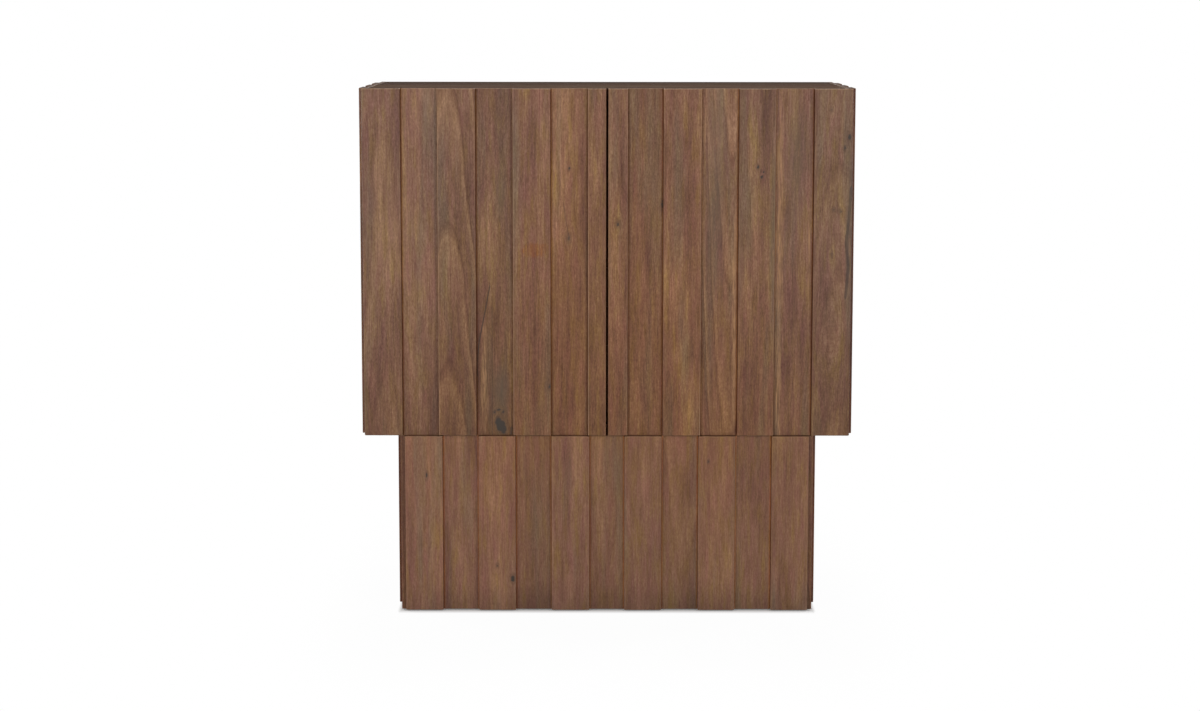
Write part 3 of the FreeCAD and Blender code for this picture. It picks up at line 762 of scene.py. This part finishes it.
STAVE_CHECKS = {
    "left_door_stave_4": [[(0.0025, 0.128), (0.001, 0.156), (0.0055, 0.203), (0.0145, 0.249), (0.030, 0.328)],
                          [(0.034, 0.0), (0.034, 0.28)], [(0.0735, 0.0), (0.0755, 0.018)]],
    "left_door_stave_6": [[], [(0.038, 0.438), (0.033, 0.465), (0.028, 0.505)]],
    "right_door_stave_7": [[], [],
                           [(0.070, 0.30), (0.076, 0.37), (0.070, 0.42), (0.076, 0.47), (0.080, 0.54)]],
}
FIGURED = {"left_door_stave_3": 1.0, "right_door_stave_4": 0.8, "right_door_stave_7": 0.5,
           "left_door_stave_1": 0.5, "base_stave_8": 0.5}
print(sum(len(marks) for marks in STAVE_MARKS.values()), "marks on", len(STAVE_MARKS), "staves")

# %% [markdown]
# ## Door and base staves
# Each door is seven staves wide and the base eleven; every second one stands ten millimetres
# back. Boards from one stack still differ, so each has its own tone, from pale to dark, and
# warmth, from grey to golden. The warmth also rises towards the middle of the cabinet, a painted
# sheen that greys the outer staves. The doors get lighter towards the top, a painted light from
# above, some boards more than others. One board copied along the row would be quicker, and the eye
# would find the copy at once.

# %% Front staves
PROUD_EASE = 0.002
RECESSED_EASE = 0.001
RUB_AND_HIGHLIGHT_IN = 0.25
FRONT_CELL = (0.003, 0.005)
PLAIN_FIGURE = 0.15
# the outer arrises get less painted highlight where they lie in shade
CORNER_RUB_AND_HIGHLIGHT = {"left_door_stave_1": 0.4, "right_door_stave_7": 0.0}
# rub and the first of pool are for the edge away from the cabinet's middle, RUB_AND_HIGHLIGHT_IN and the
# second for the other edge; rub is wear with a painted highlight, pool paints shade beside the proud staves
# and light where it is negative, head_rub_and_highlight is wear and painted highlight on the top arris, fade
# and glow paint light and sheen from above, and foot paints shade by the floor; sag lets a door's recessed
# staves hang a hair lower than the proud ones
ROWS = {
    "left_door": dict(
        body="left_door", painted_top_light=0.50, painted_top_sheen=0.55, painted_foot_shade=0.0, contrast=1.0, rub=1.0, head_rub_and_highlight=1.7,
        painted_joint_shade=(1, 0.2), stain=1.0, thirst=1.0, sag=0.0009,
        tones=(0.415, 0.545, 0.24, 0.175, 0.515, 0.46, 0.23),
        warmths_and_painted_sheen=(0.41, 0.43, 0.60, 0.66, 0.68, 0.86, 0.82)),
    "right_door": dict(
        body="right_door", painted_top_light=0.28, painted_top_sheen=0.5, painted_foot_shade=0.0, contrast=1.0, rub=0.8, head_rub_and_highlight=1.7,
        painted_joint_shade=(1, 0.4), stain=1.0, thirst=1.0, sag=0.0009,
        tones=(0.45, 0.37, 0.46, 0.51, 0.26, 0.52, 0.15),
        warmths_and_painted_sheen=(0.78, 0.90, 0.80, 0.71, 0.68, 0.52, 0.46)),
    "base": dict(
        body="case", painted_top_light=-0.12, painted_top_sheen=-0.35, painted_foot_shade=0.45, contrast=0.72, rub=0.3, head_rub_and_highlight=0.4,
        painted_joint_shade=(-1, -0.8), stain=0.35, thirst=0.0, sag=0.0,
        tones=(0.90, 0.73, 0.77, 0.40, 0.65, 0.47, 0.55, 0.44, 0.57, 0.52, 0.59),
        warmths_and_painted_sheen=(0.52, 0.49, 0.59, 0.64, 0.45, 0.60, 0.51, 0.60, 0.63, 0.55, 0.54)),
}
# PAINTED_TOP_LIGHT_LIFT adds to a stave's fade, the painted light from above; STAINED_AND_SHADED is the stain
# on its long sides, with painted shade where they stand in shadow and in the door gap
PAINTED_TOP_LIGHT_LIFT = {"left_door_stave_2": 0.3, "right_door_stave_4": 0.25, "right_door_stave_5": -0.35,
        "right_door_stave_6": 0.15, "base_stave_3": -0.2, "base_stave_8": 0.35, "base_stave_11": -0.3}
STAINED_AND_SHADED = {"left_door_stave_7": 1.5, "right_door_stave_1": 1.5, "right_door_stave_5": 1.3,
           "right_door_stave_7": 1.3, "base_stave_1": 0.8, "base_stave_9": 0.6, "base_stave_11": 0.8}
made = 0
for row, has in ROWS.items():
    for number, (tone, warmth) in enumerate(zip(has["tones"], has["warmths_and_painted_sheen"]), 1):
        name = f"{row}_stave_{number}"
        proud = number % 2 == 1
        low, high = (np.array(corner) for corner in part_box(name))
        low[2] -= 0 if proud else has["sag"]
        inward = 1 if low[0] + high[0] < 0 else -1
        made += 1
        arrays = board(
            low, high, 2, (1, -1), PROUD_EASE if proud else RECESSED_EASE, made, FRONT_CELL, tone, warmth,
            FIGURED.get(name, PLAIN_FIGURE), has["contrast"], has["painted_top_light"] + PAINTED_TOP_LIGHT_LIFT.get(name, 0), has["painted_top_sheen"],
            has["painted_foot_shade"], stain=STAINED_AND_SHADED.get(name, has["stain"]), thirst=has["thirst"],
            painted_joint_shade=(0, 0) if proud else has["painted_joint_shade"][::inward],
            rub=(CORNER_RUB_AND_HIGHLIGHT.get(name, has["rub"]), RUB_AND_HIGHLIGHT_IN)[::inward], head_rub_and_highlight=has["head_rub_and_highlight"],
            marks=STAVE_MARKS.get(name, ()), checks=STAVE_CHECKS.get(name, ()))
        lay(f"oiled_{name}", [arrays], stave_oil, has["body"], [name])
print(made, "front staves")

# %% [markdown]
# ## Side staves
# The staves go on round the corners: a proud one stands first on the case's sides, a recessed one
# first on the base's. They hardly show from the front, only as the stepped outline, but the cabinet
# is walked round, so they get the same boards. One mesh holds a whole side, as one glue-up does.

# %% Side staves
PROUD, RECESSED, CORNER = 0.082, 0.076, 0.066
STEP = 0.010
SIDE_TONES, SIDE_WARMTHS = (0.42, 0.56), (0.35, 0.6)
# fade paints light from above, foot paints shade by the floor, and front_stain_and_shade is stain with
# painted shade on the first stave
SIDES = {
    "side": dict(widths=(PROUD, RECESSED) * 3, first_proud=True, painted_top_light=0.12, painted_foot_shade=0.0,
                 front_stain_and_shade=dict(left=0.5, right=1.0)),
    "base": dict(widths=(CORNER,) + (PROUD, RECESSED) * 2 + (PROUD,), first_proud=False, painted_top_light=0.0, painted_foot_shade=0.22,
                 front_stain_and_shade=dict(left=0.5, right=0.4)),
}
for side, sign in (("right", 1), ("left", -1)):
    for row, has in SIDES.items():
        low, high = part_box(f"{side}_{row}_staves")
        parts = []
        start = low.y
        for number, width in enumerate(has["widths"]):
            proud = (number % 2 == 0) == has["first_proud"]
            back = 0 if proud else STEP
            stave_low = (low.x + (back if sign < 0 else 0), start, low.z)
            stave_high = (high.x - (back if sign > 0 else 0), start + width, high.z)
            start += width
            made += 1
            rng = np.random.default_rng(made)
            parts.append(board(
                stave_low, stave_high, 2, (0, sign), PROUD_EASE if proud else RECESSED_EASE, made,
                tone=rng.uniform(*SIDE_TONES), warmth=rng.uniform(*SIDE_WARMTHS), painted_top_light=has["painted_top_light"],
                painted_foot_shade=has["painted_foot_shade"], rub=(min(number, 1), 1), stain=1.0 if number else has["front_stain_and_shade"][side]))
        lay(f"oiled_{side}_{row}_staves", parts, stave_oil, "case", [f"{side}_{row}_staves"])
print(made, "staves with the sides")

# %% [markdown]
# ## Top
# The top is glued up from six boards that run from side to side, and is not quite flat; a rabbet
# under its back edge takes the back panel. A cool tint makes it darker and greyer than the staves:
# painted shade and a painted grey reflection for the dim light that grazes it. A single slab would be
# quicker, but few trees give one half a metre wide. The lip over the rabbet, and the ends beside it,
# are boards of their own here.

# %% Top boards
# the cool tint darkens and greys the top: painted shade and a painted grey reflection
top_oil_and_painted_shade = wood_finish("top_oil_and_painted_shade", (0.71, 0.79, 0.87, 1), 0.01, 0.4)
TOP_TONES = (0.60, 0.76, 0.66, 0.16, 0.08, -0.12)
TOP_WARMTHS = (0.3, 0.5)
TOP_EASE = 0.0006
TOP_WAVE = 0.0006
TOP_STAIN = 0.15
TOP_RUB = (0.3, 0.3)
PANEL_CELL = (0.006, 0.012)
low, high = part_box("top_panel")
back_low, back_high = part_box("back_panel")
edges = np.linspace(low.y, back_low.y, len(TOP_TONES) + 1)
places = [((low.x, front, low.z), (high.x, back, high.z)) for front, back in zip(edges[:-1], edges[1:])]
places.append(((low.x, back_low.y, back_high.z), high))
places.append(((low.x, back_low.y, low.z), (back_low.x, high.y, back_high.z)))
places.append(((back_high.x, back_low.y, low.z), (high.x, high.y, back_high.z)))
parts = []
for number, (board_low, board_high) in enumerate(places):
    made += 1
    tone = TOP_TONES[min(number, len(TOP_TONES) - 1)]
    warmth = np.random.default_rng(made).uniform(*TOP_WARMTHS)
    parts.append(board(board_low, board_high, 0, (2, 1), TOP_EASE, made, PANEL_CELL, tone, warmth,
                       wave=TOP_WAVE, stain=TOP_STAIN, rub=TOP_RUB))
lay("top_boards", parts, top_oil_and_painted_shade, "case", ["top_panel"])
print(len(TOP_TONES), "top boards")

# %% [markdown]
# ## Boards inside
# Behind the staves each door has a thin panel, and inside there are a shelf and a partition. All
# are glued up from narrow boards, as solid wood is when it has to stay flat. The same board arrays
# make them, with finer edges, so the open cabinet shows joints and turned grain, not slabs.

# %% Inner boards
inner_oil = wood_finish("inner_oil", (1.06, 1.06, 1.06, 1), 0.15)
INNER_TONES, INNER_WARMTHS, INNER_FIGURES = (0.42, 0.58), (0.4, 0.6), (0, 0.5)
INNER_STAIN = 0.3
# node: boards, grain axis, axis across the boards, show side, radius of the edges, body, slot
GLUE_UPS = {
    "left_door_panel": (6, 2, 0, (1, 1), 0.0004, "left_door", "panel_wood"),
    "right_door_panel": (6, 2, 0, (1, 1), 0.0004, "right_door", "panel_wood"),
    "shelf": (5, 0, 1, (2, 1), 0.0010, "case", "inner_wood"),
    "centre_partition": (4, 1, 2, (0, -1), 0.0008, "case", "inner_wood"),
}
for node, (count, grain, across, face, ease, body, slot) in GLUE_UPS.items():
    low, high = (np.array(corner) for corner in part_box(node))
    edges = np.linspace(low[across], high[across], count + 1)
    parts = []
    for number in range(count):
        made += 1
        rng = np.random.default_rng(made)
        board_low, board_high = low.copy(), high.copy()
        board_low[across], board_high[across] = edges[number:number + 2]
        parts.append(board(board_low, board_high, grain, face, ease, made, PANEL_CELL,
                           rng.uniform(*INNER_TONES), rng.uniform(*INNER_WARMTHS),
                           rng.uniform(*INNER_FIGURES), stain=INNER_STAIN))
    lay(f"glued_{node}", parts, inner_oil, body, [node])
print(len(GLUE_UPS), "glued panels")

# %% [markdown]
# ## Case panels, racks and rails
# These pieces keep their CAD shape, with its rabbets, dadoes and half laps, and only need a finish.
# Their meshes carry no board arrays, so this material reads Object coordinates: it cuts the piece
# into boards of one width, and gives each board its own place in the tree, its own tone and a thin
# glue line.

# %% Case panels
GLUE_NEAR, GLUE_FAR = 0.0002, 0.0008
GLUE_BROWN = linear(58, 38, 26)


def glued_finish(name, order, width, tone):
    """Boards side by side; order names the axes across, through and along them."""
    material, tree, skin = new_material(name)
    spot = add(tree, "SeparateXYZ", {0: add(tree, "TexCoord").outputs["Object"]}).outputs
    across, through, along = (spot[axis] for axis in order)
    steps = sums(tree, "DIVIDE", across, width)
    number = sums(tree, "FLOOR", steps)
    inside = sums(tree, "FRACT", steps)
    own = add(tree, "TexWhiteNoise", {"W": number}, noise_dimensions="1D").outputs["Value"]
    tree_place = (times(tree, sums(tree, "SUBTRACT", inside, own), width),
                  sums(tree, "ADD", through, scaled(tree, own, 0.08, 0.6)),
                  scaled(tree, number, TREE_STEP, along))
    place = add(tree, "CombineXYZ", dict(enumerate(tree_place))).outputs[0]
    grain = add(tree, "Group", {"Place": place, "Tone": scaled(tree, own, 0.25, tone - 0.12),
                                "Warmth": scaled(tree, own, 0.2, 0.35), "Figure": 0.25,
                                "Contrast": 1.0}, node_tree=wood).outputs
    near = sums(tree, "MINIMUM", inside, sums(tree, "SUBTRACT", 1.0, inside))
    glue = add(tree, "MapRange", {0: near, 1: GLUE_NEAR / width, 2: GLUE_FAR / width,
                                  3: 0.55, 4: 0.0}).outputs[0]
    colour = blend(tree, glue, grain["Color"], GLUE_BROWN)
    rough = sums(tree, "ADD", grain["Roughness"], 0.1)
    height = scaled(tree, glue, -2.0, grain["Height"])
    skin.inputs["Specular IOR Level"].default_value = 0.15
    coat(tree, skin, colour, rough, height, 0.3, 0.0004)
    return material


def finish_nodes(material, *nodes):
    """Give CAD nodes a finish, in all their material slots."""
    for node in nodes:
        mesh = bpy.data.objects[node].data
        for slot in range(len(mesh.materials)):
            mesh.materials[slot] = material


# finish: axes across, through and along the boards, their width, tone, and the nodes
PANELS = {
    "upright_panels": ("YXZ", 0.098, 0.42, ("left_side_panel", "right_side_panel")),
    "back_veneer": ("XYZ", 0.155, 0.40, ("back_panel", "base_corner_blocks")),
    "lying_panels": ("YZX", 0.105, 0.42, ("bottom_panel", "base_top_plate", "rack_shelves")),
    "base_rails": ("ZYX", 0.128, 0.36, ("base_front_panel", "base_back_panel")),
    "base_sides": ("ZXY", 0.128, 0.36, ("base_side_panels", "rack_uprights")),
    "rail_oil": ("XZY", 0.095, 0.46, ("stemware_rails",)),
}
for name, (order, width, tone, nodes) in PANELS.items():
    finish_nodes(glued_finish(name, order, width, tone), *nodes)
print("case panels finished")

# %% [markdown]
# ## Metal and plastic
# The hinges are dark bronzed steel, rubbed brighter in places; the bolts are zinc plated and the
# strike plates brushed. One group makes the wear for all of them: clouds where hands rub, fine
# scratches along the length and tiny pits. Each metal only mixes its own colours with it.

# %% Metal wear group
metal, given, result = new_group("Metal wear", [("Place", "Vector"), ("Rub", "Float")],
                                 [("Worn", "Float"), ("Roughness", "Float"), ("Height", "Float")])
clouds = noise(metal, given["Place"], (70, 70, 70), 4, 0.6)
scratches = noise(metal, given["Place"], (1500, 1500, 60), 2, 0.5)
pits = noise(metal, given["Place"], (2600, 2600, 2600), 2, 0.5)
worn = scaled(metal, scratches, 0.5, times(metal, clouds, 0.7))
worn = add(metal, "MapRange", {0: worn, 1: 0.52, 2: 0.74}).outputs[0]
put(metal, result["Worn"], times(metal, worn, given["Rub"], clamp=True))
pitted = scaled(metal, pits, 0.2, 0.18)
put(metal, result["Roughness"], scaled(metal, clouds, 0.25, pitted))
put(metal, result["Height"], scaled(metal, pits, 0.5, scratches))


def metal_finish(name, covered, bare, rub, turn=(0, 0, 0)):
    """A metal with its cover colour and the brighter colour where it is rubbed; turn lays the scratches."""
    material, tree, skin = new_material(name)
    place = add(tree, "Mapping", {0: add(tree, "TexCoord").outputs["Object"], "Rotation": turn}).outputs[0]
    wear = add(tree, "Group", {"Place": place, "Rub": rub}, node_tree=metal).outputs
    skin.inputs["Metallic"].default_value = 1.0
    colour = blend(tree, wear["Worn"], covered, bare)
    coat(tree, skin, colour, wear["Roughness"], wear["Height"], 0.25, 0.0001)
    return material


hinge_bronze = metal_finish("hinge_bronze", linear(66, 52, 42), linear(146, 112, 82), 0.8)
strike_steel = metal_finish("strike_steel", linear(166, 163, 158), linear(205, 202, 197), 1.0,
                            (0, math.pi / 2, 0))
bolt_zinc = metal_finish("bolt_zinc", linear(160, 163, 162), linear(198, 199, 192), 0.7)
finish_nodes(hinge_bronze, "hinge_case_leaves", "left_hinge_door_leaves", "right_hinge_door_leaves",
             "hinge_pins")
finish_nodes(strike_steel, "left_strike", "right_strike")
finish_nodes(bolt_zinc, "case_bolts")
print("metals finished")

# %% [markdown]
# The latches are moulded in dark plastic with the fine spark-eroded skin of a mould, and the glides
# under the base are pressed felt. Both are one noise at the right scale: tiny even grains for the
# mould, longer crossing hairs for the felt.

# %% Plastic and felt


def moulded_finish(name, dark, pale, stretch, rough, depth):
    """Fine grains of one stretch, with some dust, from a dark to a pale colour."""
    material, tree, skin = new_material(name)
    spot = add(tree, "TexCoord").outputs["Object"]
    grains = noise(tree, spot, stretch, 3, 0.6)
    dust = noise(tree, spot, (45, 45, 45), 4, 0.6)
    share = scaled(tree, grains, 0.6, times(tree, dust, 0.4))
    colour = ramp(tree, share, [(0.35, dark), (0.65, pale)])
    coat(tree, skin, colour, scaled(tree, dust, 0.2, rough), grains, 0.4, depth)
    return material


latch_plastic = moulded_finish("latch_plastic", linear(38, 31, 27), linear(56, 47, 41),
                               (1800, 1800, 1800), 0.42, 0.0001)
glide_felt = moulded_finish("glide_felt", linear(26, 23, 21), linear(58, 52, 47),
                            (900, 2400, 500), 0.8, 0.0006)
finish_nodes(latch_plastic, "latch_housings", "left_plunger", "right_plunger")
finish_nodes(glide_felt, "base_glides")
print("plastic and felt finished")

# %% [markdown]
# ## Screws
# Small flat-head screws hold the hinge leaves, the strikes and the latches. A head is the skin of a
# square block pressed into a disc, crowned a little, with a cross sunk into it. The square-to-disc
# map keeps even quads right up to the rim, where a polar fan would crowd them at the middle.

# %% Screw head
SCREW_STEPS = (14, 14, 1)
SCREW_SINK = 0.0008
SCREW_CROWN = 0.0003
CROSS_DEPTH = 0.0007
CROSS_WIDTH = (0.10, 0.22)
CROSS_LENGTH = (0.50, 0.68)


def screw_head(middle, facing, radius, turn):
    """A screw head on a face.

    Disc: x = u sqrt(1 - v^2 / 2), y = v sqrt(1 - u^2 / 2) for u, v from -1 to 1. The top is crowned by
    1 - x^2 - y^2 and sunk where one of the turned coordinates is small, which draws the cross.
    facing is the axis and sign that the head looks along.
    """
    steps, quads = box_skin(SCREW_STEPS)
    u, v, top = (steps / np.array(SCREW_STEPS) * np.array([2, 2, 1]) - np.array([1, 1, 0])).T
    x, y = u * np.sqrt(1 - v * v / 2), v * np.sqrt(1 - u * u / 2)
    a, b = x * math.cos(turn) - y * math.sin(turn), x * math.sin(turn) + y * math.cos(turn)
    arms = [(1 - smooth(np.abs(s), *CROSS_WIDTH)) * (1 - smooth(np.abs(t), *CROSS_LENGTH))
            for s, t in ((a, b), (b, a))]
    crown = SCREW_CROWN * (1 - x * x - y * y) - CROSS_DEPTH * np.maximum(*arms)
    rise = np.where(top > 0.5, crown, -SCREW_SINK)
    axis, sign = facing
    points = np.empty((len(u), 3))
    points[:, (axis + 1) % 3] = middle[(axis + 1) % 3] + radius * x
    points[:, (axis + 2) % 3] = middle[(axis + 2) % 3] + radius * y
    points[:, axis] = middle[axis] + sign * rise
    return {"points": points, "quads": quads if sign > 0 else quads[:, ::-1]}


print("a screw head has", len(box_skin(SCREW_STEPS)[1]), "quads")

# %% [markdown]
# Each hinge leaf takes three screws, each strike and each latch two. They could be copies of one
# object, but one mesh for each body rides with its door in one piece. No fitter stops all crosses
# at the same turn, so each leaf screw has its own.

# %% Screws in place
LEAF = 0.002
HINGE_HEIGHTS = (0.480, 1.050)
LEAF_SCREWS = ((0.018, -0.022), (0.010, 0.0), (0.018, 0.022))
LEAF_HEAD, STRIKE_HEAD, LATCH_HEAD = 0.003, 0.002, 0.0025
STRIKE_SPREAD, LATCH_SPREAD = 0.0085, 0.013
LATCH_MIDDLE = 0.035
STRIKE_TURN, LATCH_TURN = 0.4, 0.9
TURN_SEED = 7
MOST_SCREWS = 64
hinge_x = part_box("right_door_panel")[1].x
door_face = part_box("right_door_panel")[1].y + LEAF
case_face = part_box("bottom_panel")[0].y - LEAF
latch_low, latch_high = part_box("latch_housings")
heads = {"case": [], "left_door": [], "right_door": []}
turns = np.random.default_rng(TURN_SEED).uniform(0, math.pi, MOST_SCREWS)
for side, sign in (("left", -1), ("right", 1)):
    for height in HINGE_HEIGHTS:
        for inset, up in LEAF_SCREWS:
            x = sign * (hinge_x - inset)
            for body, face, way in (("case", case_face, -1), (f"{side}_door", door_face, 1)):
                turn = turns[len(heads[body])] + way
                heads[body].append(screw_head((x, face, height + up), (1, way), LEAF_HEAD, turn))
    low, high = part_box(f"{side}_strike")
    middle_x, middle_z = (low.x + high.x) / 2, (low.z + high.z) / 2
    for way in (-1, 1):
        on_strike = (middle_x + way * STRIKE_SPREAD, high.y, middle_z)
        heads[f"{side}_door"].append(screw_head(on_strike, (1, 1), STRIKE_HEAD, STRIKE_TURN))
        on_latch = (middle_x + way * LATCH_SPREAD, latch_low.y + LATCH_MIDDLE, latch_high.z - LEAF)
        heads["case"].append(screw_head(on_latch, (2, -1), LATCH_HEAD, LATCH_TURN))
for body, parts in heads.items():
    lay(f"{body}_screws", parts, hinge_bronze, body)
print({body: len(parts) for body, parts in heads.items()}, "screws")
